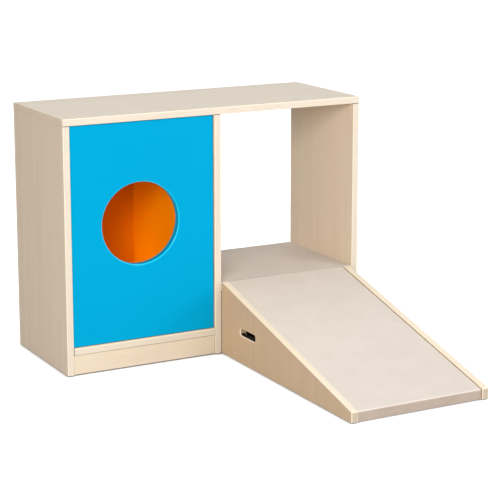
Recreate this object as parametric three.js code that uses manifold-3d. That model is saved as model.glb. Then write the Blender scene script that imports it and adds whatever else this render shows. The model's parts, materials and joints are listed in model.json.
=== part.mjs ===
// A play cabinet for toddlers with a porthole niche on the left, a raised crawl-through on the right
// and a separate slide ramp that is pinned to the platform's front.
// Millimetres, +Z up. Pieces are laid out from the cabinet's front left corner on the floor: X to the
// right, Y towards the back. The group then moves so that the origin is the middle of the whole
// footprint, on the floor.

import * as THREE from "three";
import { mergeVertices } from "three/addons/utils/BufferGeometryUtils.js";
import Module from "manifold-3d";

const wasm = await Module();
wasm.setup();

// ---- Driving dimensions: cabinet ----
const cabinetWidth = 1040;
const cabinetDepth = 410;
const cabinetHeight = 800;
const board = 22; // thickness of the wood boards
const glideHeight = 2; // the uprights stand this far off the floor
const floorGap = 3; // plinths and risers end this far above the floor
const dividerShare = 0.5; // middle of the divider, as a share of the width
const shelfTop = 88;
const plinthSetback = 4;
const rearSetback = 4;
const playGap = 1; // gap round the blue panel

// ---- Driving dimensions: blue panel and orange niche ----
const bluePanelThickness = 28;
const bluePanelSetback = 8;
const portholeDiameter = 260;
const portholeOffset = 9.5; // left of the panel's middle
const portholeLift = 24; // above the panel's middle
const nicheBoard = 18;
const nicheMargin = 18; // from the porthole's edge to each side of the niche
const battenSize = 18;
const battenEndGap = 12;

// ---- Driving dimensions: platform ----
const stepHeight = 234; // top of both coverings, where the ramp meets the platform
const coverThickness = 5;
const platformGap = 0.5; // between the platform and the uprights
const platformSetback = 2; // from the cabinet's front and back
const cleatWidth = 18;
const cleatHeight = 22;

// ---- Driving dimensions: ramp ----
const rampLength = 785; // from the cabinet's front to the foot
const rampBackGap = 1;
const rampLeftGap = 3; // from the divider's right face
const rampRightGap = 10; // from the right side panel's inner face
const rampEndHeight = 36; // of the sides, at the foot
const coverGap = 3; // groove between the covering and each side
const coverSink = 3.5; // the covering lies this far below the sides' edges
const lipFloorGap = 3;
const deckThickness = 18;
const rampBackThickness = 18;
const railThickness = 18;
const midRailY = -400;
const midRailBottom = 30;
const footRailInset = 85; // from the foot
const railGap = 0.3; // under the sloping deck
const slotLength = 98;
const slotHeight = 22;
const slotCornerRadius = 9;
const slotY = -170;
const slotZ = 104;

// ---- Driving dimensions: fittings ----
const dowelRadius = 4;
const dowelLength = 30;
const dowelClearance = 0.1;
const dowelEndSpace = 1;
const dowelInFace = 13; // depth of a dowel in a board's face
const dowelInset = 60; // from the front and the back
const pinRadius = 6;
const pinChamfer = 2;
const pinReach = 21; // how far a pin passes the cabinet's front
const pinClearance = 1;
const pinInset = 80; // from the ramp side's inner face
const pinZ = 120;
const rampDowelLowZ = 50;
const rampDowelDrop = 35; // from the back board's top to its upper dowels
const glideRadius = 8;
const glideStemRadius = 2.5;
const glideStemLength = 12;
const glideClearance = 0.3;
const glideInset = 40;
const screwHeadRadius = 4;
const screwHeadLength = 2.5;
const screwShankRadius = 2;
const screwLength = 33;
const screwClearance = 0.1;
const screwInset = 90; // from the cabinet's front and back

// ---- Colours and surfaces ----
const birch = { color: 0xe6d3b8, roughness: 0.5, metalness: 0 };
const blue = { color: 0x00a8e0, roughness: 0.4, metalness: 0 };
const orange = { color: 0xee7a00, roughness: 0.45, metalness: 0 };
const beige = { color: 0xd9cdc0, roughness: 0.75, metalness: 0 };
const beech = { color: 0xd8b48a, roughness: 0.6, metalness: 0 };
const nylon = { color: 0xeeeeea, roughness: 0.5, metalness: 0 };
const zinc = { color: 0xc8cacc, roughness: 0.35, metalness: 1 };

// ---- Places worked out from the sizes ----
const topUnderside = cabinetHeight - board;
const dividerLeft = cabinetWidth * dividerShare - board / 2;
const dividerRight = dividerLeft + board;
const rightInner = cabinetWidth - board;
const shelfBottom = shelfTop - board;
const bluePanelBack = bluePanelSetback + bluePanelThickness;
const portholeX = (board + dividerLeft) / 2 - portholeOffset;
const portholeZ = (shelfTop + topUnderside) / 2 + portholeLift;
const rearFace = cabinetDepth - rearSetback;
const nicheBackFront = rearFace - nicheBoard;
const nicheLeft = portholeX - portholeDiameter / 2 - nicheMargin;
const nicheRight = portholeX + portholeDiameter / 2 + nicheMargin;
const platformLeft = dividerRight + platformGap;
const platformRight = rightInner - platformGap;
const platformFront = platformSetback;
const platformRear = cabinetDepth - platformSetback;
const platformBoardTop = stepHeight - coverThickness;
const platformUnderside = platformBoardTop - board;
const rampLeft = dividerRight + rampLeftGap;
const rampRight = rightInner - rampRightGap;
const rampInnerLeft = rampLeft + board;
const rampInnerRight = rampRight - board;
const rampFoot = -rampLength;
const rampBack = -rampBackGap;
const rampTop = stepHeight + coverSink; // of the sides
const rampSlope = (rampTop - rampEndHeight) / (rampLength - rampBackGap);
const slopeStretch = Math.hypot(1, rampSlope); // vertical height of a layer one unit thick

// ---- Shapes ----

function block(x0, x1, y0, y1, z0, z1) {
  const geometry = new THREE.BoxGeometry(x1 - x0, y1 - y0, z1 - z0);
  return geometry.translate((x0 + x1) / 2, (y0 + y1) / 2, (z0 + z1) / 2);
}

// A flat outline in Y and Z, pushed along X from x0 to x1.
function prismAlongX(shape, x0, x1) {
  const geometry = new THREE.ExtrudeGeometry(shape, {
    depth: x1 - x0,
    bevelEnabled: false,
    curveSegments: 6,
  });
  const axes = new THREE.Matrix4().makeBasis(
    new THREE.Vector3(0, 1, 0),
    new THREE.Vector3(0, 0, 1),
    new THREE.Vector3(1, 0, 0),
  );
  return geometry.applyMatrix4(axes).translate(x0, 0, 0);
}

function outline(points) {
  return new THREE.Shape(points.map(([u, v]) => new THREE.Vector2(u, v)));
}

// A turned shape along X, Y or Z. The profile lists [radius, distance along the axis].
function turned(axis, profile, place, segments = 16) {
  const points = profile.map(([r, along]) => new THREE.Vector2(r, along));
  const geometry = new THREE.LatheGeometry(points, segments);
  if (axis === "x") geometry.rotateZ(-Math.PI / 2);
  if (axis === "z") geometry.rotateX(Math.PI / 2);
  return geometry.translate(...place);
}

function rod(axis, radius, length, place) {
  return turned(
    axis,
    [
      [0, 0],
      [radius, 0],
      [radius, length],
      [0, length],
    ],
    place,
  );
}

function solidOf(geometry) {
  const bare = geometry.clone();
  bare.deleteAttribute("normal");
  bare.deleteAttribute("uv");
  const merged = mergeVertices(bare, 1e-3);
  return new wasm.Manifold(
    new wasm.Mesh({
      numProp: 3,
      vertProperties: merged.attributes.position.array,
      triVerts: new Uint32Array(merged.index.array),
    }),
  );
}

function cut(geometry, tools) {
  const carved = tools.reduce(
    (left, tool) => left.subtract(solidOf(tool)),
    solidOf(geometry),
  );
  const mesh = carved.getMesh();
  const result = new THREE.BufferGeometry();
  result.setAttribute(
    "position",
    new THREE.BufferAttribute(mesh.vertProperties, 3),
  );
  result.setIndex(new THREE.BufferAttribute(mesh.triVerts, 1));
  return result;
}

// ---- Assembly ----

const slide = new THREE.Group();

function add(name, geometry, surface) {
  const shown = geometry.index ? geometry.toNonIndexed() : geometry;
  shown.computeVertexNormals();
  const mesh = new THREE.Mesh(shown, new THREE.MeshStandardMaterial(surface));
  mesh.name = name;
  slide.add(mesh);
}

// ---- Fittings and their holes ----

// A dowel across a joint, its middle moved so that dowelInFace of it is in the face-drilled board.
// "towards" is the direction from the end-drilled board to the face-drilled one, +1 or -1.
function dowelSpan(joint, towards, spare) {
  const inFace = joint + towards * (dowelInFace + spare);
  const inEnd = joint - towards * (dowelLength - dowelInFace + spare);
  return [Math.min(inFace, inEnd), Math.abs(inFace - inEnd)];
}

function dowel(axis, joint, towards, place) {
  const [start, length] = dowelSpan(joint, towards, 0);
  return rod(axis, dowelRadius, length, place(start));
}

function dowelHole(axis, joint, towards, place) {
  const [start, length] = dowelSpan(joint, towards, dowelEndSpace);
  return rod(axis, dowelRadius + dowelClearance, length, place(start));
}

const dowelRows = { front: dowelInset, rear: cabinetDepth - dowelInset };

const uprightMiddles = {
  left: board / 2,
  middle: dividerLeft + board / 2,
  right: rightInner + board / 2,
};

function topDowelHoles(upright) {
  return Object.values(dowelRows).map((y) =>
    dowelHole("z", topUnderside, 1, (z) => [uprightMiddles[upright], y, z]),
  );
}

const shelfMiddle = shelfBottom + board / 2;
const shelfEnds = {
  left: { joint: board, towards: -1 },
  right: { joint: dividerLeft, towards: 1 },
};

function shelfDowelHoles(end) {
  const { joint, towards } = shelfEnds[end];
  return Object.values(dowelRows).map((y) =>
    dowelHole("x", joint, towards, (x) => [x, y, shelfMiddle]),
  );
}

const glideRows = { front: glideInset, rear: cabinetDepth - glideInset };

function glide(x, y) {
  const profile = [
    [0, 0],
    [glideRadius, 0],
    [glideRadius, glideHeight],
    [glideStemRadius, glideHeight],
    [glideStemRadius, glideHeight + glideStemLength],
    [0, glideHeight + glideStemLength],
  ];
  return turned("z", profile, [x, y, 0]);
}

function glideHole(x, y) {
  const depth = glideStemLength + glideClearance + 1;
  const radius = glideStemRadius + glideClearance;
  return rod("z", radius, depth, [x, y, glideHeight - 1]);
}

function glideHoles(upright) {
  return Object.values(glideRows).map((y) =>
    glideHole(uprightMiddles[upright], y),
  );
}

// A countersunk screw, from a cleat's inner face into the upright that the cleat lies against.
const screwRows = { front: screwInset, rear: cabinetDepth - screwInset };
const cleatMiddleZ = platformUnderside - cleatHeight / 2;

function screw(towards, face, y, clearance) {
  const profile = [
    [0, -clearance],
    [screwHeadRadius + clearance, -clearance],
    [screwShankRadius + clearance, screwHeadLength],
    [screwShankRadius + clearance, screwLength + clearance],
    [0, screwLength + clearance],
  ];
  const geometry = turned("x", profile, [0, 0, 0]);
  if (towards < 0) geometry.rotateZ(Math.PI);
  return geometry.translate(face, y, cleatMiddleZ);
}

const cleats = {
  left: { face: platformLeft + cleatWidth, towards: -1 },
  right: { face: platformRight - cleatWidth, towards: 1 },
};

function screwHoles(side) {
  const { face, towards } = cleats[side];
  return Object.values(screwRows).map((y) =>
    screw(towards, face, y, screwClearance),
  );
}

// ---- Cabinet: boards ----

function upright(name, x0, holes) {
  const panel = block(
    x0,
    x0 + board,
    0,
    cabinetDepth,
    glideHeight,
    topUnderside,
  );
  add(name, cut(panel, holes), birch);
}

add(
  "top_board",
  cut(
    block(0, cabinetWidth, 0, cabinetDepth, topUnderside, cabinetHeight),
    Object.keys(uprightMiddles).flatMap(topDowelHoles),
  ),
  birch,
);

upright("left_side_panel", 0, [
  ...topDowelHoles("left"),
  ...shelfDowelHoles("left"),
  ...glideHoles("left"),
]);

upright("divider_panel", dividerLeft, [
  ...topDowelHoles("middle"),
  ...shelfDowelHoles("right"),
  ...glideHoles("middle"),
  ...screwHoles("left"),
]);

upright("right_side_panel", rightInner, [
  ...topDowelHoles("right"),
  ...glideHoles("right"),
  ...screwHoles("right"),
]);

add(
  "bottom_shelf",
  cut(block(board, dividerLeft, 0, cabinetDepth, shelfBottom, shelfTop), [
    ...shelfDowelHoles("left"),
    ...shelfDowelHoles("right"),
  ]),
  birch,
);

function plinth(name, y0) {
  const geometry = block(
    board,
    dividerLeft,
    y0,
    y0 + board,
    floorGap,
    shelfBottom,
  );
  add(name, geometry, birch);
}

plinth("plinth_front", plinthSetback);
plinth("plinth_rear", rearFace - board);

// ---- Cabinet: blue panel with its porthole ----

const bluePanelOutline = outline([
  [board + playGap, shelfTop + playGap],
  [dividerLeft - playGap, shelfTop + playGap],
  [dividerLeft - playGap, topUnderside - playGap],
  [board + playGap, topUnderside - playGap],
]);
const portholeRing = new THREE.Path();
portholeRing.absarc(portholeX, portholeZ, portholeDiameter / 2, 0, 2 * Math.PI);
bluePanelOutline.holes.push(portholeRing);

const bluePanel = new THREE.ExtrudeGeometry(bluePanelOutline, {
  depth: bluePanelThickness,
  bevelEnabled: false,
  curveSegments: 48,
});
bluePanel.applyMatrix4(
  new THREE.Matrix4().makeBasis(
    new THREE.Vector3(1, 0, 0),
    new THREE.Vector3(0, 0, 1),
    new THREE.Vector3(0, -1, 0),
  ),
);
bluePanel.translate(0, bluePanelBack, 0);
add("porthole_panel", bluePanel, blue);

// ---- Cabinet: orange niche behind the porthole ----

add(
  "niche_back_panel",
  block(
    board,
    dividerLeft,
    nicheBackFront,
    rearFace,
    shelfTop,
    topUnderside,
  ),
  orange,
);

function nicheSide(name, x0) {
  const geometry = block(
    x0,
    x0 + nicheBoard,
    bluePanelBack,
    nicheBackFront,
    shelfTop,
    topUnderside,
  );
  add(name, geometry, orange);
}

nicheSide("niche_side_left", nicheLeft - nicheBoard);
nicheSide("niche_side_right", nicheRight);

function batten(name, x0, y0) {
  const geometry = block(
    x0,
    x0 + battenSize,
    y0,
    y0 + battenSize,
    shelfTop + battenEndGap,
    topUnderside - battenEndGap,
  );
  add(name, geometry, beech);
}

batten("front_batten_left", board, bluePanelBack);
batten("front_batten_right", dividerLeft - battenSize, bluePanelBack);
batten("rear_batten_left", board, nicheBackFront - battenSize);
batten("rear_batten_right", dividerLeft - battenSize, nicheBackFront - battenSize);

// ---- Cabinet: raised platform of the crawl-through ----

const pinPlaces = {
  left: rampInnerLeft + pinInset,
  right: rampInnerRight - pinInset,
};

function pinHoles(radius) {
  return Object.values(pinPlaces).map((x) =>
    rod("y", radius, board + 2, [x, platformFront - 1, pinZ]),
  );
}

function riser(name, y0, holes) {
  const geometry = block(
    platformLeft,
    platformRight,
    y0,
    y0 + board,
    floorGap,
    platformUnderside,
  );
  add(name, cut(geometry, holes), birch);
}

riser("platform_front_riser", platformFront, pinHoles(pinRadius + pinClearance));
riser("platform_rear_riser", platformRear - board, []);

function platformLayer(name, z0, z1, surface) {
  const geometry = block(
    platformLeft,
    platformRight,
    platformFront,
    platformRear,
    z0,
    z1,
  );
  add(name, geometry, surface);
}

platformLayer("platform_board", platformUnderside, platformBoardTop, birch);
platformLayer("platform_cover", platformBoardTop, stepHeight, beige);

for (const [side, { face, towards }] of Object.entries(cleats)) {
  const back = face + towards * cleatWidth;
  const geometry = block(
    Math.min(face, back),
    Math.max(face, back),
    platformFront + board,
    platformRear - board,
    platformUnderside - cleatHeight,
    platformUnderside,
  );
  add("platform_cleat_" + side, cut(geometry, screwHoles(side)), beech);
  for (const [row, y] of Object.entries(screwRows)) {
    add(`cleat_screw_${side}_${row}`, screw(towards, face, y, 0), zinc);
  }
}

// ---- Cabinet: dowels and glides ----

for (const [row, y] of Object.entries(dowelRows)) {
  for (const [place, x] of Object.entries(uprightMiddles)) {
    const geometry = dowel("z", topUnderside, 1, (z) => [x, y, z]);
    add(`top_dowel_${place}_${row}`, geometry, beech);
  }
  for (const [end, { joint, towards }] of Object.entries(shelfEnds)) {
    const geometry = dowel("x", joint, towards, (x) => [x, y, shelfMiddle]);
    add(`shelf_dowel_${end}_${row}`, geometry, beech);
  }
}

for (const [row, y] of Object.entries(glideRows)) {
  for (const [place, x] of Object.entries(uprightMiddles)) {
    add(`cabinet_glide_${place}_${row}`, glide(x, y), nylon);
  }
}

// ---- Ramp: outlines in Y and Z ----

// Height at y of a line that runs parallel to the ramp's upper edge, "down" below it.
function slopeZ(y, down) {
  return rampTop + rampSlope * (y - rampBack) - down * slopeStretch;
}

// Top of an upright board under the deck, whose lower face is at y.
function crossBoardTop(y) {
  return slopeZ(y, deckUnderDepth) - railGap;
}

const deckTopDepth = coverSink + coverThickness;
const deckUnderDepth = deckTopDepth + deckThickness;
const lipFront = rampFoot + coverSink;
const lipBack = lipFront + coverThickness;

const sideOutline = outline([
  [rampBack, glideHeight],
  [rampBack, rampTop],
  [rampFoot, rampEndHeight],
  [rampFoot, glideHeight],
]);

const slot = new THREE.Path();
const slotReachY = slotLength / 2 - slotCornerRadius;
const slotReachZ = slotHeight / 2 - slotCornerRadius;
[
  [1, 1],
  [-1, 1],
  [-1, -1],
  [1, -1],
].forEach(([signY, signZ], quarter) => {
  slot.absarc(
    slotY + signY * slotReachY,
    slotZ + signZ * slotReachZ,
    slotCornerRadius,
    (quarter * Math.PI) / 2,
    ((quarter + 1) * Math.PI) / 2,
  );
});
slot.closePath();
sideOutline.holes.push(slot);

const coverOutline = outline([
  [rampBack, slopeZ(rampBack, coverSink)],
  [lipFront, slopeZ(lipFront, coverSink)],
  [lipFront, lipFloorGap],
  [lipBack, lipFloorGap],
  [lipBack, slopeZ(lipBack, deckTopDepth)],
  [rampBack, slopeZ(rampBack, deckTopDepth)],
]);

const deckOutline = outline([
  [rampBack, slopeZ(rampBack, deckTopDepth)],
  [lipBack, slopeZ(lipBack, deckTopDepth)],
  [lipBack, slopeZ(lipBack, deckUnderDepth)],
  [rampBack, slopeZ(rampBack, deckUnderDepth)],
]);

// ---- Ramp: boards ----

const rampBackMiddle = rampBack - rampBackThickness / 2;
const rampDowelEnds = {
  left: { joint: rampInnerLeft, towards: -1 },
  right: { joint: rampInnerRight, towards: 1 },
};
const backBoardTop = crossBoardTop(rampBack - rampBackThickness);
const rampDowelRows = { low: rampDowelLowZ, high: backBoardTop - rampDowelDrop };

function rampDowelHoles(side) {
  const { joint, towards } = rampDowelEnds[side];
  return Object.values(rampDowelRows).map((z) =>
    dowelHole("x", joint, towards, (x) => [x, rampBackMiddle, z]),
  );
}

const rampGlideRows = {
  rear: rampBack - glideInset,
  foot: rampFoot + glideInset,
};

function rampSide(side, x0) {
  const middle = x0 + board / 2;
  const holes = rampDowelHoles(side);
  for (const y of Object.values(rampGlideRows)) holes.push(glideHole(middle, y));
  const geometry = prismAlongX(sideOutline, x0, x0 + board);
  add(`ramp_${side}_side`, cut(geometry, holes), birch);
  for (const [row, y] of Object.entries(rampGlideRows)) {
    add(`ramp_glide_${side}_${row}`, glide(middle, y), nylon);
  }
}

rampSide("left", rampLeft);
rampSide("right", rampInnerRight);

add(
  "ramp_deck",
  prismAlongX(deckOutline, rampInnerLeft, rampInnerRight),
  birch,
);
add(
  "ramp_cover",
  prismAlongX(coverOutline, rampInnerLeft + coverGap, rampInnerRight - coverGap),
  beige,
);

// An upright board across the ramp, between y0 and y1, up to the underside of the deck.
function crossBoard(name, y0, y1, z0, holes, surface) {
  const geometry = block(
    rampInnerLeft,
    rampInnerRight,
    y0,
    y1,
    z0,
    crossBoardTop(y0),
  );
  add(name, cut(geometry, holes), surface);
}

const backBoardHoles = [
  ...rampDowelHoles("left"),
  ...rampDowelHoles("right"),
  ...Object.values(pinPlaces).map((x) =>
    rod("y", pinRadius + dowelClearance, rampBackThickness + 2, [
      x,
      rampBack - rampBackThickness - 1,
      pinZ,
    ]),
  ),
];
crossBoard(
  "ramp_back_board",
  rampBack - rampBackThickness,
  rampBack,
  floorGap,
  backBoardHoles,
  birch,
);
crossBoard(
  "ramp_mid_rail",
  midRailY,
  midRailY + railThickness,
  midRailBottom,
  [],
  beech,
);
crossBoard(
  "ramp_foot_rail",
  rampFoot + footRailInset,
  rampFoot + footRailInset + railThickness,
  floorGap,
  [],
  beech,
);

// ---- Ramp: dowels and locating pins ----

for (const [row, z] of Object.entries(rampDowelRows)) {
  for (const [side, { joint, towards }] of Object.entries(rampDowelEnds)) {
    const geometry = dowel("x", joint, towards, (x) => [x, rampBackMiddle, z]);
    add(`ramp_dowel_${side}_${row}`, geometry, beech);
  }
}

for (const [side, x] of Object.entries(pinPlaces)) {
  const start = rampBack - rampBackThickness;
  const length = pinReach - start;
  const profile = [
    [0, 0],
    [pinRadius, 0],
    [pinRadius, length - pinChamfer],
    [pinRadius - pinChamfer, length],
    [0, length],
  ];
  add(`ramp_pin_${side}`, turned("y", profile, [x, start, pinZ]), beech);
}

// ---- Origin: the middle of the footprint, on the floor ----

slide.position.set(-cabinetWidth / 2, (rampLength - cabinetDepth) / 2, 0);

export default slide;
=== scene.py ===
# %% [markdown]
# # A play cabinet with a slide ramp
#
# The real object is a low kindergarten cabinet of laminated boards. Its left half hides an orange niche
# behind a blue panel with a porthole. Its right half is a crawl-through with a raised floor, and a
# wedge-shaped ramp is pinned in front of that floor, so that a toddler can climb up and slide down.
#
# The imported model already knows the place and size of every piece. Each lesson step takes its sizes
# from there and only makes what the eye sees: rounded edges, edging, grain and soft coverings.

# %% Load the frame
import json
import math

import bpy
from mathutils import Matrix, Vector


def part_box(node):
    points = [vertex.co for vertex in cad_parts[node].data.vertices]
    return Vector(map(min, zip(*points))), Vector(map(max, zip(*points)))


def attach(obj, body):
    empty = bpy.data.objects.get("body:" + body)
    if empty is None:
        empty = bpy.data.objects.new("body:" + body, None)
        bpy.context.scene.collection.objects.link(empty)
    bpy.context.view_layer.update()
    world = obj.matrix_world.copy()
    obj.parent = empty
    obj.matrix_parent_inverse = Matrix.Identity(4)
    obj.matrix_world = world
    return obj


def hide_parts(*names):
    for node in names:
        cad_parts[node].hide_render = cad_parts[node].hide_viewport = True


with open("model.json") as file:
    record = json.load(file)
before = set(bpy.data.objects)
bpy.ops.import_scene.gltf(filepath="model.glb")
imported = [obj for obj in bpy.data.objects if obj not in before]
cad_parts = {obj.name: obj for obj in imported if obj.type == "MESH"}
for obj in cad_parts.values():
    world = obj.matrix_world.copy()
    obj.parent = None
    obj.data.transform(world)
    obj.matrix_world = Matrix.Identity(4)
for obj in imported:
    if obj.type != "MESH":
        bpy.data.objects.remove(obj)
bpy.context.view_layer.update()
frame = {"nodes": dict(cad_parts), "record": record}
record = frame["record"]

BODY_OF = {
    node: body
    for body, nodes in record["behaviour"]["bodies"].items()
    for node in nodes
}
SLOT_OF = {part["node"]: part["material_slot"] for part in record["subparts"]}
AXES = {"x": 0, "y": 1, "z": 2}
MM = 0.001

# %% [markdown]
# ## Helpers for work in edit mode
#
# Operators act on whatever is selected, so every step starts with nothing selected and then picks its
# edges or faces in code, by their place. Working like this keeps each step repeatable, and the piece
# always ends with its place in its own mesh and its object at the origin.


# %% Start and select
def nothing_selected():
    if bpy.context.object and bpy.context.object.mode != "OBJECT":
        bpy.ops.object.mode_set(mode="OBJECT")
    bpy.ops.object.select_all(action="DESELECT")


def only(piece):
    nothing_selected()
    piece.select_set(True)
    bpy.context.view_layer.objects.active = piece
    return piece


def take_new(name):
    """Names the primitive just added, and puts its place into its mesh."""
    piece = bpy.context.object
    piece.name = name
    piece.data.name = name
    bpy.ops.object.transform_apply(location=True, rotation=True, scale=True)
    return piece


# %% Start a block
def start_block(name, low, high):
    nothing_selected()
    low, high = Vector(low), Vector(high)
    bpy.ops.mesh.primitive_cube_add(size=1, location=(low + high) / 2, scale=high - low)
    return take_new(name)


# %% Select edges by their place
def select_edges(piece, chosen):
    """Goes into edit mode with just the edges selected whose two end points are chosen."""
    only(piece)
    mesh = piece.data
    for face in mesh.polygons:
        face.select = False
    for vertex in mesh.vertices:
        vertex.select = False
    for edge in mesh.edges:
        a, b = (mesh.vertices[i] for i in edge.vertices)
        edge.select = bool(chosen(a.co, b.co))
        if edge.select:
            a.select = b.select = True
    bpy.context.tool_settings.mesh_select_mode = (False, True, False)
    bpy.ops.object.mode_set(mode="EDIT")


# %% Apply and smooth
def apply_modifier(piece, kind, **settings):
    only(piece)
    modifier = piece.modifiers.new(kind.lower(), kind)
    for key, value in settings.items():
        setattr(modifier, key, value)
    bpy.ops.object.modifier_apply(modifier=modifier.name)
    return piece


def smooth(piece, degrees=35):
    """Smooths the roundings and keeps the flat faces flat, because the larger face's normal counts."""
    only(piece)
    bpy.ops.object.shade_smooth_by_angle(angle=math.radians(degrees))
    return apply_modifier(piece, "WEIGHTED_NORMAL", keep_sharp=True)


# %% [markdown]
# ## Rounding edges by weight
#
# A laminated board has two kinds of edges. Where a hand can reach, the edging strip is milled round
# with a radius of about 2 mm. Where two boards meet, the edge is only broken, or the joint would gape.
# A bevel modifier that reads edge weights makes both in one pass, with clean corners between them.


# %% Weighted bevel
def same(a, b):
    return abs(a - b) < 1e-5


def round_edges(piece, widths, segments=4):
    """widths lists (chosen, width). Edges that no entry chooses stay sharp, and a later entry wins."""
    widest = max(width for _, width in widths)
    for chosen, width in widths:
        select_edges(piece, chosen)
        bpy.ops.transform.edge_bevelweight(value=-1)
        bpy.ops.transform.edge_bevelweight(value=width / widest)
        bpy.ops.object.mode_set(mode="OBJECT")
    apply_modifier(
        piece,
        "BEVEL",
        width=widest,
        segments=segments,
        limit_method="WEIGHT",
        harden_normals=False,
    )
    return smooth(piece)


def every_edge(a, b):
    return True


# %% [markdown]
# ## Camera
#
# A long lens stands far off at the front left, a little above the cabinet's top, as for a catalogue.
# From so far away the uprights stay almost parallel, and a small downward shift takes out more of
# their lean.

# %% Camera
CAMERA_PLACE = (-2.3996, -4.4492, 1.5733)
CAMERA_TURN = 28.47
CAMERA_TILT = 11.56
CAMERA_LENS = 121.745
CAMERA_SHIFT = -0.1

camera_data = bpy.data.cameras.new("camera")
camera_data.lens = CAMERA_LENS
camera_data.shift_y = CAMERA_SHIFT
camera = bpy.data.objects.new("camera", camera_data)
bpy.context.scene.collection.objects.link(camera)
camera.location = CAMERA_PLACE
camera.rotation_euler = (
    math.radians(90 - CAMERA_TILT),
    0,
    math.radians(-CAMERA_TURN),
)
bpy.context.scene.camera = camera
print("camera at", CAMERA_PLACE)

# %% [markdown]
# ## Studio
#
# A plain pale floor and broad soft lights, with no coloured surroundings, so that the colours of the
# laminates read true. The largest light stands high in front, so the top board's shadow falls backwards
# into the crawl-through. A second one from the left lights the left side, a card low on the right opens
# up the ramp, and a weak, cool light above whitens the top. The porthole lets in too little light to
# show the niche, so a lamp no wider than a child's hand lights it from inside, hidden from view.


# %% Area light
def studio_light(name, place, target, size, power, colour=(1, 1, 1)):
    data = bpy.data.lights.new(name, "AREA")
    data.shape = "RECTANGLE"
    data.size, data.size_y = size
    data.energy = power
    data.color = colour
    light = bpy.data.objects.new(name, data)
    bpy.context.scene.collection.objects.link(light)
    light.location = place
    aim = Vector(target) - Vector(place)
    light.rotation_euler = aim.to_track_quat("-Z", "Y").to_euler()
    return light


# %% Floor and lights
FLOOR_SIZE = 60

nothing_selected()
bpy.ops.mesh.primitive_plane_add(size=FLOOR_SIZE)
floor = take_new("floor")

LIGHTS = {
    "front_light": {
        "place": (2.7, -5.0, 5.7), "target": (0, 0, 0.4), "size": (3.6, 2.4), "power": 145
    },
    "right_card": {
        "place": (3.4, -3.8, 1.3), "target": (0, 0.2, 0.3), "size": (1.6, 1.6), "power": 52
    },
    "side_light": {
        "place": (-3.3, -3.9, 2.2), "target": (0, 0, 0.4), "size": (1.8, 1.8), "power": 183
    },
    "top_light": {
        "place": (0.2, 1.2, 4.2),
        "target": (0, 0.3, 0.8),
        "size": (2.0, 2.0),
        "power": 41,
        "colour": (0.92, 0.96, 1.0),
    },
    "niche_light": {
        "place": (-0.4, 0.56, 0.2),
        "target": (-0.116, 0.47, 0.42),
        "size": (0.06, 0.06),
        "power": 0.5,
    },
}
for name, settings in LIGHTS.items():
    studio_light(name, **settings)
niche_light = bpy.data.objects["niche_light"]
niche_light.visible_camera = False
niche_light.visible_glossy = False
bpy.context.scene.view_settings.view_transform = "Standard"
print(len(LIGHTS), "lights")


# %% [markdown]
# ## Shader groups
#
# Grain, mottling and handling marks are used by more than one finish, so each is a node group with
# named inputs. A group gives out colours and values only. The Principled shader stays in each material.


# %% Group helpers
def linear(code):
    """A colour such as E8D8C0, as it looks on a screen, in the linear values that shaders use."""
    parts = [int(code[i : i + 2], 16) / 255 for i in (0, 2, 4)]
    toned = [c / 12.92 if c <= 0.04045 else ((c + 0.055) / 1.055) ** 2.4 for c in parts]
    return (*toned, 1)


# %% Wiring helper
class Wiring:
    """Adds nodes to a tree and joins them, to keep the recipes below short."""

    def __init__(self, tree):
        self.tree = tree

    def node(self, kind, inputs=None, **settings):
        node = self.tree.nodes.new(kind)
        for key, value in settings.items():
            setattr(node, key, value)
        for key, value in (inputs or {}).items():
            self.feed(node.inputs[key], value)
        return node

    def feed(self, socket, value):
        if isinstance(value, bpy.types.NodeSocket):
            self.tree.links.new(value, socket)
        else:
            socket.default_value = value

    def math(self, operation, a, b):
        node = self.node("ShaderNodeMath", {0: a, 1: b}, operation=operation)
        return node.outputs[0]

    def noise(self, vector, scale, detail=3.0, roughness=0.5, distortion=0.0):
        node = self.node(
            "ShaderNodeTexNoise",
            {
                "Vector": vector,
                "Scale": scale,
                "Detail": detail,
                "Roughness": roughness,
                "Distortion": distortion,
            },
        )
        return node.outputs["Fac"]

    def between(self, value, low, high):
        """0 at low and below, 1 at high and above."""
        node = self.node(
            "ShaderNodeMapRange",
            {"Value": value, "From Min": low, "From Max": high},
        )
        return node.outputs["Result"]

    def blend(self, factor, a, b, kind="MIX"):
        node = self.node("ShaderNodeMix", data_type="RGBA", blend_type=kind)
        self.feed(node.inputs["Factor"], factor)
        self.feed(node.inputs[6], a)
        self.feed(node.inputs[7], b)
        return node.outputs[2]


# %% New group
def shader_group(name, inputs, outputs):
    group = bpy.data.node_groups.new(name, "ShaderNodeTree")
    for label, (kind, value) in inputs.items():
        socket = group.interface.new_socket(label, in_out="INPUT", socket_type=kind)
        socket.default_value = value
    for label, kind in outputs.items():
        group.interface.new_socket(label, in_out="OUTPUT", socket_type=kind)
    wiring = Wiring(group)
    source = wiring.node("NodeGroupInput").outputs
    target = wiring.node("NodeGroupOutput").inputs
    return group, wiring, source, target


COLOUR, VALUE, VECTOR = "NodeSocketColor", "NodeSocketFloat", "NodeSocketVector"

# %% [markdown]
# ## Surroundings
#
# A studio is bright where its lights and cards stand and dim behind the object. So the surroundings
# fade from front to back, and only the gloss sees them evenly bright, as it would see white cards.

# %% World
FRONT_GLOW = 0.75
BACK_GLOW = 0.02
GLOSS_GLOW = 0.8

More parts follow.
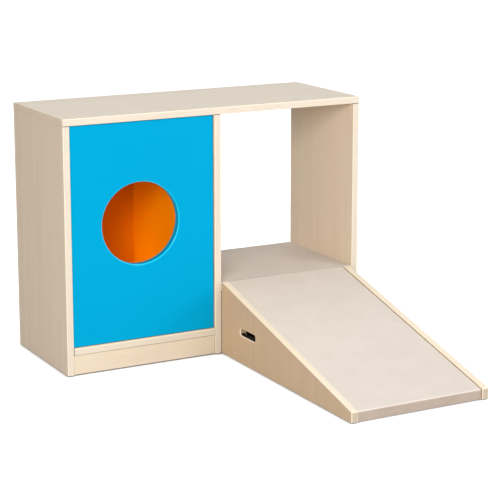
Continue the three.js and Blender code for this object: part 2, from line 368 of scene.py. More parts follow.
world = bpy.data.worlds.new("studio")
bpy.context.scene.world = world
world.use_nodes = True
world.node_tree.nodes.clear()
w = Wiring(world.node_tree)
heading = w.node("ShaderNodeSeparateXYZ", {0: w.node("ShaderNodeTexCoord").outputs["Generated"]})
fade = w.node(
    "ShaderNodeMapRange",
    {
        "Value": heading.outputs["Y"],
        "From Min": -1.0,
        "From Max": 0.7,
        "To Min": FRONT_GLOW,
        "To Max": BACK_GLOW,
    },
)
path = w.node("ShaderNodeLightPath").outputs
glossy = w.math("MULTIPLY", path["Is Glossy Ray"], GLOSS_GLOW)
dull = w.math("MULTIPLY", w.math("SUBTRACT", 1.0, path["Is Glossy Ray"]), fade.outputs["Result"])
lit = w.math("MAXIMUM", path["Is Camera Ray"], w.math("ADD", glossy, dull))
background = w.node("ShaderNodeBackground", {"Color": (1, 1, 1, 1), "Strength": lit})
w.feed(w.node("ShaderNodeOutputWorld").inputs["Surface"], background.outputs[0])
print("surroundings from", FRONT_GLOW, "to", BACK_GLOW)

# %% [markdown]
# ## Long grain
#
# The boards carry a printed birch decor: pale, with soft streaks of a few centimetres, finer lines
# between them and short darker pores. Noise that is stretched along one axis gives all three. The
# stretch is an input, so the same group runs upwards on a side and sideways on a top.

# %% Long grain group
grain_group, w, source, target = shader_group(
    "long_grain",
    {
        "Stretch": (VECTOR, (40, 40, 1.2)),
        "Light": (COLOUR, linear("EAD7BF")),
        "Dark": (COLOUR, linear("E1CCB1")),
        "Pore": (COLOUR, linear("D2BA99")),
    },
    {"Color": COLOUR, "Height": VALUE},
)
place = w.node("ShaderNodeTexCoord").outputs["Object"]
stretched = w.node(
    "ShaderNodeVectorMath",
    {0: place, 1: source["Stretch"]},
    operation="MULTIPLY",
).outputs[0]
streaks = w.noise(stretched, 1.0, 3, 0.55, 0.6)
lines = w.noise(stretched, 6.5, 4, 0.6, 0.2)
pores = w.between(w.noise(stretched, 24.0, 2, 0.5), 0.6, 0.78)
tone = w.math("ADD", w.math("MULTIPLY", streaks, 0.62), w.math("MULTIPLY", lines, 0.38))
shade = w.between(tone, 0.33, 0.67)
base = w.blend(shade, source["Light"], source["Dark"])
w.feed(target["Color"], w.blend(w.math("MULTIPLY", pores, 0.35), base, source["Pore"]))
w.feed(target["Height"], w.math("SUBTRACT", lines, pores))
print("group", grain_group.name)

# %% [markdown]
# ## Handling marks
#
# Even a new board isn't evenly matt: wiping and hands leave broad, barely visible patches. They change
# only the roughness, so they show when a light grazes the face.

# %% Handling group
handling_group, w, source, target = shader_group(
    "handling_marks",
    {"Base": (VALUE, 0.45), "Spread": (VALUE, 0.08), "Scale": (VALUE, 5.0)},
    {"Roughness": VALUE},
)
place = w.node("ShaderNodeTexCoord").outputs["Object"]
patches = w.between(w.noise(place, source["Scale"], 4, 0.6), 0.35, 0.7)
w.feed(
    target["Roughness"],
    w.math("ADD", source["Base"], w.math("MULTIPLY", patches, source["Spread"])),
)
print("group", handling_group.name)

# %% [markdown]
# ## Mottling
#
# The covering of the platform and of the ramp is a matt sheet flooring: clouds a few centimetres wide
# in two close beiges, a fine speckle, and a pebbled skin that keeps socks from slipping.

# %% Mottling group
mottle_group, w, source, target = shader_group(
    "mottling",
    {
        "Light": (COLOUR, linear("E6DDD3")),
        "Dark": (COLOUR, linear("DED4C9")),
        "Cloud": (VALUE, 14.0),
        "Speckle": (VALUE, 420.0),
    },
    {"Color": COLOUR, "Height": VALUE},
)
place = w.node("ShaderNodeTexCoord").outputs["Object"]
clouds = w.between(w.noise(place, source["Cloud"], 5, 0.6, 0.4), 0.3, 0.7)
speckle = w.noise(place, source["Speckle"], 2, 0.5)
clouded = w.blend(clouds, source["Light"], source["Dark"])
speckled = w.between(speckle, 0.35, 0.75)
w.feed(
    target["Color"],
    w.blend(w.math("MULTIPLY", speckled, 0.35), clouded, source["Dark"]),
)
pebbles = w.node(
    "ShaderNodeTexVoronoi",
    {"Vector": place, "Scale": 520.0},
    feature="SMOOTH_F1",
)
w.feed(target["Height"], w.math("ADD", pebbles.outputs["Distance"], speckle))
print("group", mottle_group.name)


# %% [markdown]
# ## Finishes
#
# Each finish is one material with its own Principled shader. What is the same all over, such as the
# coat or the index of refraction, is set on the shader's own socket.


# %% Material helper
def finish_material(name, **sockets):
    material = bpy.data.materials.new(name)
    material.use_nodes = True
    material.node_tree.nodes.clear()
    wiring = Wiring(material.node_tree)
    shader = wiring.node("ShaderNodeBsdfPrincipled")
    output = wiring.node("ShaderNodeOutputMaterial")
    wiring.feed(output.inputs["Surface"], shader.outputs["BSDF"])
    for label, value in sockets.items():
        shader.inputs[label.replace("_", " ")].default_value = value
    return material, wiring, shader


def use_group(wiring, group, **inputs):
    node = wiring.node("ShaderNodeGroup", node_tree=group)
    for label, value in inputs.items():
        wiring.feed(node.inputs[label], value)
    return node.outputs


def bump(wiring, shader, height, distance, strength=1.0):
    node = wiring.node(
        "ShaderNodeBump",
        {"Height": height, "Distance": distance, "Strength": strength},
    )
    wiring.feed(shader.inputs["Normal"], node.outputs["Normal"])


# %% [markdown]
# ## Board decor and its edging
#
# The top board, the plinths and risers, the ramp's sides and their foot faces each take the decor in a
# tone of their own, and these tones are painted light and shade: the top cooler, the plinths and risers
# a little darker and less pink, the ramp's sides darker and their foot faces darker still. The edging
# strip is a little paler, and its rounding paler again, a painted highlight. Bare chipboard shows in
# the hand slots. Where two boards meet, a dark tone is painted into the seam as painted shade.

# %% Board decor and its edging
GRAIN_ACROSS = 42
GRAIN_ALONG = 1.3


def stretch_along(axis, across=GRAIN_ACROSS, along=GRAIN_ALONG):
    stretch = [across] * 3
    stretch[AXES[axis]] = along
    return tuple(stretch)


# %% Decor
def birch_decor(axis, name="birch_decor", **tones):
    material, w, shader = finish_material(
        f"{name}_{axis}", IOR=1.5, Coat_Weight=0.12, Coat_Roughness=0.35
    )
    colours = {key: linear(tone) for key, tone in tones.items()}
    grain = use_group(w, grain_group, Stretch=stretch_along(axis), **colours)
    marks = use_group(w, handling_group, Base=0.46)
    w.feed(shader.inputs["Base Color"], grain["Color"])
    w.feed(shader.inputs["Roughness"], marks["Roughness"])
    bump(w, shader, grain["Height"], 0.00006, 0.5)
    return material


# %% Edging
def birch_edging(axis):
    material, w, shader = finish_material(
        f"birch_edging_{axis}", IOR=1.5, Coat_Weight=0.2, Coat_Roughness=0.25
    )
    grain = use_group(
        w,
        grain_group,
        Stretch=stretch_along(axis, across=70, along=2.5),
        Light=linear("DDD0BF"),
        Dark=linear("D7C9B5"),
        Pore=linear("CDBCA4"),
    )
    marks = use_group(w, handling_group, Base=0.38, Spread=0.06)
    w.feed(shader.inputs["Base Color"], grain["Color"])
    w.feed(shader.inputs["Roughness"], marks["Roughness"])
    return material


def milled_edging_highlight(axis):
    """The rounding of the edging: paler, a painted highlight along the edge, and smoother."""
    material, w, shader = finish_material(
        f"milled_edging_highlight_{axis}", IOR=1.5, Coat_Weight=0.3, Coat_Roughness=0.2
    )
    grain = use_group(
        w,
        grain_group,
        Stretch=stretch_along(axis, across=120, along=3),
        Light=linear("F0E2CA"),
        Dark=linear("ECDCC2"),
        Pore=linear("E3D1B4"),
    )
    marks = use_group(w, handling_group, Base=0.3, Spread=0.05)
    w.feed(shader.inputs["Base Color"], grain["Color"])
    w.feed(shader.inputs["Roughness"], marks["Roughness"])
    return material


# %% Bare chipboard
def core_and_painted_shade(name, light, dark):
    """Bare chipboard, and also the painted shade in a narrow gap."""
    material, w, shader = finish_material(name, IOR=1.4)
    place = w.node("ShaderNodeTexCoord").outputs["Object"]
    chips = w.between(w.noise(place, 450.0, 3, 0.65), 0.35, 0.65)
    w.feed(shader.inputs["Base Color"], w.blend(chips, linear(light), linear(dark)))
    marks = use_group(w, handling_group, Base=0.75, Spread=0.1, Scale=40.0)
    w.feed(shader.inputs["Roughness"], marks["Roughness"])
    bump(w, shader, chips, 0.0002, 0.6)
    return material


# %% All board finishes
MILLED_HIGHLIGHT = {axis: milled_edging_highlight(axis) for axis in "xyz"}
DECOR = {axis: birch_decor(axis) for axis in "xyz"}
EDGING = {axis: birch_edging(axis) for axis in "xyz"}
# These four decors are painted light and shade: the top cooler, the plinths and risers a little darker
# and less pink, the ramp's sides darker and their foot faces darker still.
TOP_DECOR_PAINTED_LIGHT = birch_decor("x", "top_decor_painted_light", Light="E3D7C6", Dark="DBCDBA", Pore="CEBDA5")
PLINTH_DECOR_PAINTED_LIGHT = birch_decor("x", "plinth_decor_painted_light", Light="DFCFB8", Dark="D8C5AB", Pore="CDB798")
RAMP_DECOR_PAINTED_SHADE = birch_decor("z", "ramp_decor_painted_shade", Light="D0B594", Dark="C8AB89", Pore="BA9D78")
FOOT_DECOR_PAINTED_SHADE = birch_decor("x", "ramp_foot_painted_shade", Light="C0B29C", Dark="B9AA93", Pore="AE9D84")
# The slot core is bare chipboard. The slot floor, the panel groove and the seam tone are painted shade.
SLOT_FLOOR_SHADE = core_and_painted_shade("slot_floor_painted_shade", "241A12", "19120C")
GROOVE_SHADE = core_and_painted_shade("panel_groove_painted_shade", "0B3F6E", "082F55")
SEAM_SHADE = core_and_painted_shade("seam_painted_shade", "563B22", "402B17")
CORE = core_and_painted_shade("slot_core", "D2AE80", "B9956A")
print(sorted(m.name for m in [*DECOR.values(), *EDGING.values()]))


# %% Plain laminates
def laminate(name, colour, deep, roughness, bounce=None, **sockets):
    """A through-coloured laminate, with the faint waviness of a pressed surface.

    bounce is the colour that it throws on its neighbours, if a studio's fill cards would tame that.
    """
    material, w, shader = finish_material(name, IOR=1.45, Specular_IOR_Level=0.03, **sockets)
    place = w.node("ShaderNodeTexCoord").outputs["Object"]
    drift = w.between(w.noise(place, 3.0, 2, 0.5), 0.3, 0.7)
    shown = w.blend(w.math("MULTIPLY", drift, 0.5), linear(colour), linear(deep))
    if bounce:
        bounced = w.node("ShaderNodeLightPath").outputs["Is Diffuse Ray"]
        shown = w.blend(bounced, shown, linear(bounce))
    w.feed(shader.inputs["Base Color"], shown)
    marks = use_group(w, handling_group, Base=roughness, Spread=0.07)
    w.feed(shader.inputs["Roughness"], marks["Roughness"])
    bump(w, shader, w.noise(place, 700.0, 2, 0.5), 0.00004, 0.35)
    return material


# %% Blue and orange
SOFT_BOUNCE = "C8AE90"

BLUE = laminate("blue_laminate", "009CC9", "0098C5", 0.36, SOFT_BOUNCE)
BLUE_INSIDE = laminate("blue_inner_laminate", "009CC9", "0098C5", 0.4)
# The rim's lighter blue is a painted highlight.
BLUE_RIM_HIGHLIGHT = laminate(
    "blue_rim_painted_highlight", "14CBF2", "0CC4EC", 0.25, SOFT_BOUNCE, Coat_Weight=0.4, Coat_Roughness=0.2
)
ORANGE = laminate("orange_laminate", "FA9000", "F68A00", 0.4)
print(BLUE.name, ORANGE.name)


# %% Covering
def covering(name, **tones):
    material, w, shader = finish_material(name, IOR=1.48, Sheen_Weight=0.1)
    mottle = use_group(w, mottle_group, **{key: linear(tone) for key, tone in tones.items()})
    marks = use_group(w, handling_group, Base=0.62, Spread=0.12, Scale=9.0)
    w.feed(shader.inputs["Base Color"], mottle["Color"])
    w.feed(shader.inputs["Roughness"], marks["Roughness"])
    bump(w, shader, mottle["Height"], 0.0002, 0.5)
    return material


COVERING = covering("beige_covering", Light="DACFC5", Dark="D4C9BE")
# The lip is the same covering in a darker tone, a painted shade.
COVERING_LIP_SHADED = covering("beige_covering_lip_painted_shade", Light="B3A294", Dark="A99889")
print(COVERING.name, COVERING_LIP_SHADED.name)


# %% Solid beech
def solid_beech(axis):
    material, w, shader = finish_material(f"solid_beech_{axis}", IOR=1.45)
    grain = use_group(
        w,
        grain_group,
        Stretch=stretch_along(axis, across=90, along=4),
        Light=linear("DDB98E"),
        Dark=linear("C99B6B"),
        Pore=linear("A87748"),
    )
    marks = use_group(w, handling_group, Base=0.58)
    w.feed(shader.inputs["Base Color"], grain["Color"])
    w.feed(shader.inputs["Roughness"], marks["Roughness"])
    bump(w, shader, grain["Height"], 0.0001, 0.6)
    return material


# %% Nylon and zinc
def moulded_nylon():
    material, w, shader = finish_material("moulded_nylon", IOR=1.53)
    place = w.node("ShaderNodeTexCoord").outputs["Object"]
    scuffs = w.between(w.noise(place, 160.0, 4, 0.6), 0.45, 0.75)
    w.feed(
        shader.inputs["Base Color"],
        w.blend(scuffs, linear("F1F0EA"), linear("D8D6CE")),
    )
    marks = use_group(w, handling_group, Base=0.42, Spread=0.2, Scale=90.0)
    w.feed(shader.inputs["Roughness"], marks["Roughness"])
    return material


def zinc_plate():
    material, w, shader = finish_material("zinc_plate", Metallic=1.0)
    place = w.node("ShaderNodeTexCoord").outputs["Object"]
    spangle = w.noise(place, 300.0, 3, 0.6)
    w.feed(
        shader.inputs["Base Color"],
        w.blend(spangle, linear("D6D8DA"), linear("AEB2B6")),
    )
    marks = use_group(w, handling_group, Base=0.28, Spread=0.18, Scale=150.0)
    w.feed(shader.inputs["Roughness"], marks["Roughness"])
    return material


BEECH = {axis: solid_beech(axis) for axis in "xyz"}
NYLON = moulded_nylon()
ZINC = zinc_plate()
print(NYLON.name, ZINC.name)

# %% [markdown]
# ## Floor
#
# The studio's sweep is lit so brightly that the object throws no shadow on it, only a thin dark line
# where it stands. So the floor glows for the camera, and stops glowing close to what stands on it.

# %% Floor finish
FLOOR_GLOW = 0.95
CONTACT_REACH = 0.03


def pale_floor():
    material, w, shader = finish_material(
        "pale_floor",
        Base_Color=linear("C3C3C3"),
        Roughness=0.9,
        Emission_Color=(1, 1, 1, 1),
    )
    seen = w.node("ShaderNodeLightPath").outputs["Is Camera Ray"]
    openness = w.node("ShaderNodeAmbientOcclusion", {"Distance": CONTACT_REACH}, samples=8)
    glow = w.math("MULTIPLY", openness.outputs["AO"], FLOOR_GLOW)
    w.feed(shader.inputs["Emission Strength"], w.math("MULTIPLY", seen, glow))
    return material


floor.data.materials.append(pale_floor())
print("all finishes made")

# %% [markdown]
# ## From a bare block to a finished piece
#
# A finished piece rides with the body of the piece it stands for and hides it. Decor covers a board's
# two wide faces and edging covers the rest, rounded edges included, so one question sorts the faces:
# does this face look along the board's thickness?


# %% Finish a piece
def finished(piece, node, *materials):
    for material in materials:
        piece.data.materials.append(material)
    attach(piece, BODY_OF[node])
    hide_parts(node)
    print(f"{piece.name}: {len(piece.data.polygons)} faces")
    return piece


def paint(piece, index, chosen):
    for face in piece.data.polygons:
        if chosen(face):
            face.material_index = index


FLAT = 0.985  # a flat face's normal has at least this much of its own axis


def off_axis(axis):
    """Faces that don't look along that axis, such as edges and roundings."""
    return lambda face: abs(face.normal[AXES[axis]]) < FLAT


def is_rounding(face):
    """Faces that look along none of the three axes."""
    return max(abs(part) for part in face.normal) < FLAT


def looks_forward(face):
    return face.normal.y < -FLAT


# %% Edges by their place
def edges(along=None, **places):
    """Edges parallel to one axis, or any edges, with both ends at the given places."""

    def chosen(a, b):
        if along and any(not same(a[i], b[i]) for i in range(3) if i != AXES[along]):
            return False
        return all(
            same(a[AXES[key]], place) and same(b[AXES[key]], place)
            for key, place in places.items()
        )

    return chosen


# %% [markdown]
# ## Drilling
#
# A dowel, a pin, a glide's stem or a screw sits in a hole of its own shape, a little wider than itself.
# So each hole is cut with a copy of the very piece that goes in, made slightly fatter.


# %% Drill for fittings
def cut_with(piece, tool):
    apply_modifier(piece, "BOOLEAN", operation="DIFFERENCE", solver="EXACT", object=tool)
    bpy.data.objects.remove(tool)


def drill(piece, nodes, clearance=0.2 * MM):
    if not nodes:
        return piece
    nothing_selected()
    for node in nodes:
        tool = frame["nodes"][node].copy()
        tool.data = tool.data.copy()
        tool.parent = None
        bpy.context.scene.collection.objects.link(tool)
        tool.select_set(True)
    tool = bpy.context.selected_objects[0]
    bpy.context.view_layer.objects.active = tool
    if len(nodes) > 1:
        bpy.ops.object.join()
    bpy.ops.object.mode_set(mode="EDIT")
    bpy.ops.mesh.select_all(action="SELECT")
    bpy.ops.mesh.remove_doubles(threshold=1e-6)
    bpy.ops.transform.shrink_fatten(value=clearance, use_even_offset=True)
    bpy.ops.object.mode_set(mode="OBJECT")
    cut_with(piece, tool)
    return smooth(piece)


# %% Bore a round hole
def bore(piece, low, high, centre, radius, steps):
    """A round hole right through a board that faces the front."""
    nothing_selected()
    bpy.ops.mesh.primitive_cylinder_add(
        vertices=steps,
        radius=radius,
        depth=(high.y - low.y) * 3,
        location=(centre.x, (low.y + high.y) / 2, centre.z),
        rotation=(math.radians(90), 0, 0),
    )
    cut_with(piece, take_new("bore_cutter"))


def off_centre(point, centre):
    return math.hypot(point.x - centre.x, point.z - centre.z)


# %% Find fittings
def fittings(*starts):
    """The nodes whose names begin in one of these ways."""
    return sorted(n for n in frame["nodes"] if n.startswith(starts))


print(len(fittings("top_dowel")), "top dowels,", len(fittings("cabinet_glide")), "glides")

# %% [markdown]
# ## Cabinet boards
#
# The cabinet is a box of 22 mm boards. Each one starts as a block of the board's size. Its front and
# back edges, which hands touch, get the full 2 mm rounding. The edges that lie against another board
# are only broken, and then the dowel holes are drilled. The small faces of these broken edges are
# painted dark, a painted shade, so that the seam reads as a thin dark line. The top's ends lie level
# with the sides and are decor too, so that seam all but vanishes.

# %% Board maker
ROUNDED = 2.3 * MM
BROKEN = 1.3 * MM
FLUSH = 0.15 * MM
# The milled edging is paler as a painted highlight, and the seam tone is painted shade.
STRIP, ROUNDING_HIGHLIGHT, GAP = 1, 2, 3  # indices of a board's edging, milled edging and seam materials


def broken_at(**places):
    """The small faces of broken edges that lie against another board at these places."""

    def chosen(face):
        if not is_rounding(face):
            return False
        return any(
            abs(face.center[AXES[key]] - place) < BROKEN for key, place in places.items()
        )

    return chosen


# %% Make a board
def laminated_board(
    node, thickness, grain, rounded, flush=(), joints=(), drilled=(), decor=None
):
    """rounded lists the edges with the full radius, flush the edges that end level with a
    neighbour's face, and joints the planes where other boards lie."""
    piece = start_block(f"{node}_finished", *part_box(node))
    widths = [(every_edge, BROKEN)]
    widths += [(chosen, ROUNDED) for chosen in rounded]
    widths += [(chosen, FLUSH) for chosen in flush]
    round_edges(piece, widths)
    drill(piece, drilled)
    paint(piece, STRIP, off_axis(thickness))
    paint(piece, ROUNDING_HIGHLIGHT, is_rounding)
    for places in joints:
        paint(piece, GAP, broken_at(**places))
    return finished(piece, node, decor or DECOR[grain], EDGING[grain], MILLED_HIGHLIGHT[grain], SEAM_SHADE)


# %% Uprights
for place, node in {
    "left": "left_side_panel",
    "middle": "divider_panel",
    "right": "right_side_panel",
}.items():
    low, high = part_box(node)
    holes = fittings(f"top_dowel_{place}", f"cabinet_glide_{place}")
    outside = []
    if place == "left":
        holes += fittings("shelf_dowel_left")
        outside = [edges(along="y", x=low.x, z=high.z)]
    if place == "middle":
        holes += fittings("shelf_dowel_right", "cleat_screw_left")
    if place == "right":
        holes += fittings("cleat_screw_right")
        outside = [edges(along="y", x=high.x, z=high.z)]
    laminated_board(
        node,
        thickness="x",
        grain="z",
        rounded=[edges(along="z", y=low.y), edges(along="z", y=high.y)],
        flush=outside,
        joints=[{"z": low.z}, {"z": high.z}],
        drilled=holes,
    )

# %% Top board
low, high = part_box("top_board")
top_piece = laminated_board(
    "top_board",
    thickness="z",
    grain="x",
    rounded=[edges(along="x", y=low.y), edges(along="x", y=high.y)],
    flush=[edges(along="y")],
    drilled=fittings("top_dowel"),
    decor=TOP_DECOR_PAINTED_LIGHT,
)
BOARD_END = 4  # index of its material
top_piece.data.materials.append(DECOR["z"])
paint(top_piece, BOARD_END, lambda face: abs(face.normal.x) > 0.3)

# %% Shelf, plinths and risers
low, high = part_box("bottom_shelf")
laminated_board(
    "bottom_shelf",
    thickness="z",
    grain="x",
    rounded=[edges(along="x", y=low.y), edges(along="x", y=high.y)],
    joints=[{"x": low.x}, {"x": high.x}],
    drilled=fittings("shelf_dowel"),
)
for node in ("plinth_front", "plinth_rear", "platform_front_riser", "platform_rear_riser"):
    low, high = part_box(node)
    laminated_board(
        node,
        thickness="y",
        grain="x",
        rounded=[],
        joints=[{"x": low.x}, {"x": high.x}, {"z": high.z}, {"z": low.z}],
        decor=PLINTH_DECOR_PAINTED_LIGHT,
    )

# %% [markdown]
# The ramp's two pins slide into the front riser. They are a loose fit, because grown-ups part and join
# them by feel, so both holes go right through the board and are 1 mm wider all round than the pins.

# %% Pin holes
PIN_PLAY = 1 * MM
PIN_HOLE_STEPS = 32
HOLE_WALL = 4  # index of its material

low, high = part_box("platform_front_riser")
riser = bpy.data.objects["platform_front_riser_finished"]
riser.data.materials.append(CORE)
for node in fittings("ramp_pin"):
    pin_low, pin_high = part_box(node)
    pin = (pin_low + pin_high) / 2
    hole_radius = (pin_high.x - pin_low.x) / 2 + PIN_PLAY
    bore(riser, low, high, pin, hole_radius, PIN_HOLE_STEPS)
    paint(riser, HOLE_WALL, lambda face: off_centre(face.center, pin) < hole_radius)
smooth(riser)
print("pin holes", round(2 * hole_radius / MM, 1), "mm,", len(riser.data.polygons), "faces")

# %% Platform board
low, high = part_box("platform_board")
laminated_board(
    "platform_board",
    thickness="z",
    grain="x",
    rounded=[edges(along="x", z=low.z, y=low.y), edges(along="x", z=low.z, y=high.y)],
)

# %% [markdown]
# ## Blue panel with its porthole
#
# The panel is a thick coated board with a round window that toddlers look and reach through, so both
# rims are milled to a soft quarter round. A cylinder cuts the window first. The rounding comes after
# it, as on the milling machine, because only then are the rim's edges there to select. The milled rim
# is glossier and a lighter blue, a painted highlight. The outline's rounded edge is a dark blue, a
# painted shade for its groove, and the back is plain blue.

# %% Where the window is
PORTHOLE_RIM = 4 * MM
PANEL_ROUNDING = 1.5 * MM
PORTHOLE_STEPS = 128


def ring_inside(node, plane_axis, plane, margin):
    """Box of the corners that lie in a plane of a CAD piece, clear of the piece's own outline."""
    low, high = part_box(node)
    i = AXES[plane_axis]
    others = [k for k in range(3) if k != i]
    points = [
        v.co
        for v in frame["nodes"][node].data.vertices
        if same(v.co[i], plane)
        and all(low[k] + margin < v.co[k] < high[k] - margin for k in others)
    ]
    lows = Vector(min(p[k] for p in points) for k in range(3))
    highs = Vector(max(p[k] for p in points) for k in range(3))
    return lows, highs


# %% Window
low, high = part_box("porthole_panel")
hole_low, hole_high = ring_inside("porthole_panel", "y", low.y, margin=5 * MM)
porthole_centre = (hole_low + hole_high) / 2
porthole_radius = (hole_high.x - hole_low.x) / 2

panel = start_block("porthole_panel_finished", low, high)
bore(panel, low, high, porthole_centre, porthole_radius, PORTHOLE_STEPS)


def on_porthole(point):
    return abs(off_centre(point, porthole_centre) - porthole_radius) < 0.5 * MM


def near_porthole(face, reach):
    return off_centre(face.center, porthole_centre) < porthole_radius + reach


# %% Rims and outline
def porthole_rims(a, b):
    return on_porthole(a) and on_porthole(b) and same(a.y, b.y)


def outer_edges(a, b):
    return not on_porthole(a) and not on_porthole(b)


def on_rim(face):
    is_deep = low.y + 0.1 * MM < face.center.y < low.y + PORTHOLE_RIM - 0.1 * MM
    return is_deep and near_porthole(face, PORTHOLE_RIM)


# %% Porthole panel
round_edges(panel, [(outer_edges, PANEL_ROUNDING), (porthole_rims, PORTHOLE_RIM)], 5)
WIDE, RIM, OUTLINE, INSIDE = range(4)  # in the order of the materials below
# The outline's rounding is painted dark blue, a painted shade in its groove, and the rim gets the
# lighter blue of a painted highlight.
paint(panel, OUTLINE, is_rounding)
paint(panel, WIDE, lambda face: near_porthole(face, 2 * PORTHOLE_RIM))
paint(panel, RIM, on_rim)
paint(panel, INSIDE, lambda face: face.normal.y > 0.9)
finished(panel, "porthole_panel", BLUE, BLUE_RIM_HIGHLIGHT, GROOVE_SHADE, BLUE_INSIDE)
print("porthole", round(2 * porthole_radius / MM), "mm wide")

# %% [markdown]
# ## Orange niche
#
# Behind the window stand two side walls and a back panel of orange laminate, so that a child who looks
# in sees a bright room and no raw framework. Their edges are hidden, so they are only broken.

# %% Niche panels
for node in ("niche_back_panel", "niche_side_left", "niche_side_right"):
    piece = start_block(f"{node}_finished", *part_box(node))
    round_edges(piece, [(every_edge, BROKEN)])
    finished(piece, node, ORANGE)

# %% [markdown]
# ## Ramp sides
#
# Each side is a wedge with a hand slot, so that one adult can pull the ramp off its pins. The wedge is
# a block cut along the slope by a bisect. A rounded bar cuts the slot, and the slot's rims get a
# bigger rounding than the outline because four fingers carry the ramp's weight there. The slot's floor
# is painted near black, a painted shade for how dark a deep slot looks from above.

# %% Slope of the ramp
ramp_low, ramp_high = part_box("ramp_left_side")
foot_top = max(
    v.co.z
    for v in frame["nodes"]["ramp_left_side"].data.vertices
    if same(v.co.y, ramp_low.y)
)
slope_run = Vector((0, ramp_high.y - ramp_low.y, ramp_high.z - foot_top))
along_slope = slope_run.normalized()
slope_up = Vector((0, -along_slope.z, along_slope.y))
print("slope", round(math.degrees(math.atan2(slope_run.z, slope_run.y)), 1), "degrees")

# %% Wedge with a hand slot
SLOT_RIM = 3 * MM
SLOT_CORNER = 9 * MM
OUTLINE_CORNER = 2.5 * MM
SLOT_WALL, FOOT, SLOT_BOTTOM = 4, 5, 6  # indices of their materials


def slope_height(y):
    return foot_top + (y - ramp_low.y) * slope_run.z / slope_run.y


def slot_box(node):
    """The hand slot as the CAD side has it, from the corners inside the side's outline."""
    low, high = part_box(node)
    points = [
        v.co
        for v in frame["nodes"][node].data.vertices
        if same(v.co.x, low.x)
        and low.y + 20 * MM < v.co.y < high.y - 40 * MM
        and 30 * MM < v.co.z < slope_height(v.co.y) - 5 * MM
    ]
    ys, zs = [p.y for p in points], [p.z for p in points]
    return Vector((low.x, min(ys), min(zs))), Vector((high.x, max(ys), max(zs)))


# %% Cut and round a side
def slot_cutter(low, high):
    spare = Vector((10 * MM, 0, 0))
    tool = start_block("slot_cutter", low - spare, high + spare)
    select_edges(tool, edges(along="x"))
    bpy.ops.mesh.bevel(offset=SLOT_CORNER, segments=8, affect="EDGES")
    bpy.ops.object.mode_set(mode="OBJECT")
    return tool


def ramp_side(node, holes):
    low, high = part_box(node)
    piece = start_block(f"{node}_finished", low, high)
    only(piece)
    bpy.ops.object.mode_set(mode="EDIT")
    bpy.ops.mesh.select_all(action="SELECT")
    bpy.ops.mesh.bisect(
        plane_co=(0, ramp_low.y, foot_top),
        plane_no=slope_up,
        clear_outer=True,
        use_fill=True,
    )
    bpy.ops.object.mode_set(mode="OBJECT")
    slot_low, slot_high = slot_box(node)
    cut_with(piece, slot_cutter(slot_low, slot_high))

    def at_slot(p):
        return (
            slot_low.y - MM < p.y < slot_high.y + MM
            and slot_low.z - MM < p.z < slot_high.z + MM
        )

    def slot_rims(a, b):
        return at_slot(a) and at_slot(b) and same(a.x, b.x)

    def outline_edges(a, b):
        return not at_slot(a) and not at_slot(b)

    round_edges(
        piece,
        [
            (outline_edges, BROKEN),
            (lambda a, b: outline_edges(a, b) and same(a.x, b.x), ROUNDED),
            (edges(along="x", y=low.y), OUTLINE_CORNER),
            (edges(along="x", z=high.z), OUTLINE_CORNER),
            (slot_rims, SLOT_RIM),
        ],
    )
    drill(piece, holes)

    def in_slot(face):
        return at_slot(face.center) and abs(face.normal.x) < 0.1

    paint(piece, STRIP, off_axis("x"))
    paint(piece, ROUNDING_HIGHLIGHT, is_rounding)
    # The foot faces take the darker foot tone, the broken edges at the bottom and the back take the
    # seam tone, and the slot's floor a near black: all painted shade.
    paint(piece, FOOT, looks_forward)
    paint(piece, GAP, broken_at(z=low.z, y=high.y))
    paint(piece, SLOT_WALL, in_slot)
    paint(piece, SLOT_BOTTOM, lambda face: in_slot(face) and face.normal.z > 0.3)
    return finished(
        piece, node, RAMP_DECOR_PAINTED_SHADE, EDGING["y"], MILLED_HIGHLIGHT["y"], SEAM_SHADE, CORE, FOOT_DECOR_PAINTED_SHADE, SLOT_FLOOR_SHADE
    )


# %% Both ramp sides
for side in ("left", "right"):
    ramp_side(f"ramp_{side}_side", fittings(f"ramp_dowel_{side}", f"ramp_glide_{side}"))

# %% [markdown]
# ## Ramp deck and cross boards
#
# The deck is a board that lies between the sides, with its ends cut plumb. It is a block as deep as the
# whole ramp that two bisects trim to a sloping slice. The cross boards carry it from below. The back
# board's inner face and the deck's lower end take the dark seam tone, a painted shade for the hollow of
# the ramp as one sees it through a slot.


# %% Sloping slice
def sloping_slice(name, node, top_depth, thickness):
    """A block trimmed to the space between two planes that run parallel to the slope."""
    low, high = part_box(node)
    piece = start_block(name, low, high)
    only(piece)
    bpy.ops.object.mode_set(mode="EDIT")
    for depth, keep_below in ((top_depth, True), (top_depth + thickness, False)):
        bpy.ops.mesh.select_all(action="SELECT")
        bpy.ops.mesh.bisect(
            plane_co=Vector((0, ramp_low.y, foot_top)) - slope_up * depth,
            plane_no=slope_up,
            clear_outer=keep_below,
            clear_inner=not keep_below,
            use_fill=True,
        )
    bpy.ops.object.mode_set(mode="OBJECT")
    return piece


# %% Ramp deck
cover_low, cover_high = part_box("ramp_cover")
deck_low, deck_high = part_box("ramp_deck")
cover_sink = (ramp_high.z - cover_high.z) * along_slope.y
cover_depth = (ramp_high.z - deck_high.z) * along_slope.y
cover_thickness = cover_depth - cover_sink
deck_thickness = (slope_height(deck_low.y) - deck_low.z) * along_slope.y - cover_depth
deck = sloping_slice("ramp_deck_finished", "ramp_deck", cover_depth, deck_thickness)
round_edges(deck, [(every_edge, BROKEN)])
DECK_END = 2  # index of its material
paint(deck, STRIP, lambda face: abs(face.normal.dot(slope_up)) < FLAT)
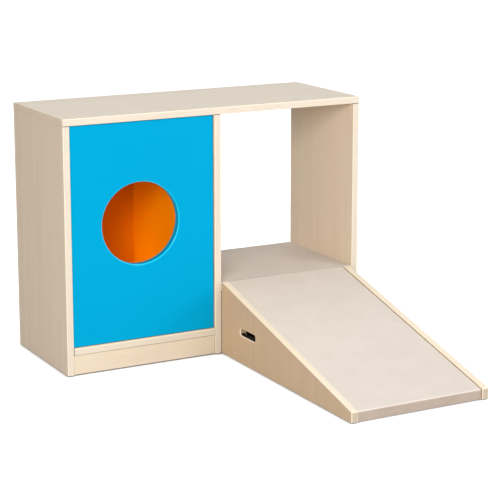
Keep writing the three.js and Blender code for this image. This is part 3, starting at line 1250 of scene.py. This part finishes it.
# The deck's lower end takes the seam tone, a painted shade.
paint(deck, DECK_END, lambda face: face.normal.y < -0.5)
finished(deck, "ramp_deck", RAMP_DECOR_PAINTED_SHADE, EDGING["x"], SEAM_SHADE)
print("deck", round(deck_thickness / MM, 1), "mm, covering", round(cover_thickness / MM, 1))

# %% Back board
low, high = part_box("ramp_back_board")
back_board = laminated_board(
    "ramp_back_board",
    thickness="y",
    grain="x",
    rounded=[edges(along="x", z=low.z)],
    drilled=fittings("ramp_dowel", "ramp_pin"),
)
# The inner face takes the seam tone, a painted shade for the hollow of the ramp.
paint(back_board, GAP, looks_forward)

# %% [markdown]
# ## Covering of the ramp
#
# The flooring is one strip glued to the deck that bends over the foot and ends just above the floor.
# A bent sheet is easiest to make as a sheet: a plane lies on the slope, its lower edge is extruded
# down for the lip, the bend is bevelled round, and Solidify gives the strip its thickness inwards.

# %% Sheet bent over the foot
NOSE_RADIUS = 5 * MM
COVER_EDGE = 0.7 * MM
SNUG = 1.5 * MM  # the strip is glued close to the left side, and its slack shows at the right one

lip_front = cover_low.y
nose_height = slope_height(lip_front) - cover_sink / along_slope.y
nothing_selected()
cover_left = cover_low.x - SNUG
bpy.ops.mesh.primitive_plane_add(
    size=1,
    location=(
        (cover_left + cover_high.x) / 2,
        (lip_front + cover_high.y) / 2,
        cover_high.z,
    ),
)
bpy.context.object.scale = (cover_high.x - cover_left, cover_high.y - lip_front, 1)
cover = take_new("ramp_cover_finished")
select_edges(cover, edges(along="x", y=lip_front))
bpy.ops.transform.translate(value=(0, 0, nose_height - cover_high.z))
bpy.ops.object.mode_set(mode="OBJECT")
select_edges(cover, edges(along="x", y=lip_front))
bpy.ops.mesh.extrude_edges_move(
    TRANSFORM_OT_translate={"value": (0, 0, cover_low.z - nose_height)}
)
bpy.ops.object.mode_set(mode="OBJECT")
select_edges(cover, edges(along="x", y=lip_front, z=nose_height))
bpy.ops.mesh.bevel(offset=NOSE_RADIUS, segments=8, affect="EDGES", offset_type="OFFSET")
bpy.ops.mesh.select_all(action="SELECT")
bpy.ops.mesh.normals_make_consistent(inside=False)
bpy.ops.object.mode_set(mode="OBJECT")
if max(cover.data.polygons, key=lambda face: face.area).normal.z < 0:
    cover.data.flip_normals()
print("sheet", round((cover_high.x - cover_left) / MM), "mm wide")

# %% Thickness and edges of the covering
apply_modifier(
    cover,
    "SOLIDIFY",
    thickness=cover_thickness,
    offset=-1,
    use_even_offset=True,
)


def cover_long_edges(a, b):
    return same(a.x, b.x)


def cover_ends(a, b):
    return same(a.y, cover_high.y) and same(b.y, cover_high.y)


round_edges(cover, [(cover_long_edges, COVER_EDGE), (cover_ends, COVER_EDGE)], 3)
# The lip's faces take the darker covering, a painted shade.
LIP = 1  # index of its material
paint(cover, LIP, lambda face: face.normal.y < -0.9)
finished(cover, "ramp_cover", COVERING, COVERING_LIP_SHADED)

# %% Platform covering
low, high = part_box("platform_cover")
pad = start_block("platform_cover_finished", low, high)
round_edges(pad, [(every_edge, BROKEN), (edges(z=high.z), COVER_EDGE)], 3)
finished(pad, "platform_cover", COVERING)

# %% [markdown]
# ## Framework, dowels, pins and glides
#
# What stays out of sight still gets its real finish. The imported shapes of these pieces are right, so
# they stay, and each only takes its own wood, nylon or zinc in the direction its fibres run.


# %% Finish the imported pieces
def refinish(node, material):
    piece = frame["nodes"][node]
    piece.data.materials.clear()
    piece.data.materials.append(material)


GRAINED = {"beech": BEECH, "birch_board": DECOR}
PLAIN = {
    "nylon": NYLON,
    "zinc": ZINC,
    "beige_covering": COVERING,
    "blue_laminate": BLUE,
    "orange_laminate": ORANGE,
}
for node in frame["nodes"]:
    low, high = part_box(node)
    size = high - low
    longest = "xyz"[max(range(3), key=lambda k: size[k])]
    slot_name = SLOT_OF[node]
    refinish(node, GRAINED[slot_name][longest] if slot_name in GRAINED else PLAIN[slot_name])
print(len(frame["nodes"]), "packed pieces finished")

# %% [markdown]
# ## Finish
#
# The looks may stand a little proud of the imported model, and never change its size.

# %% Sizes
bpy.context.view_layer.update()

# %% Finish
nothing_selected()
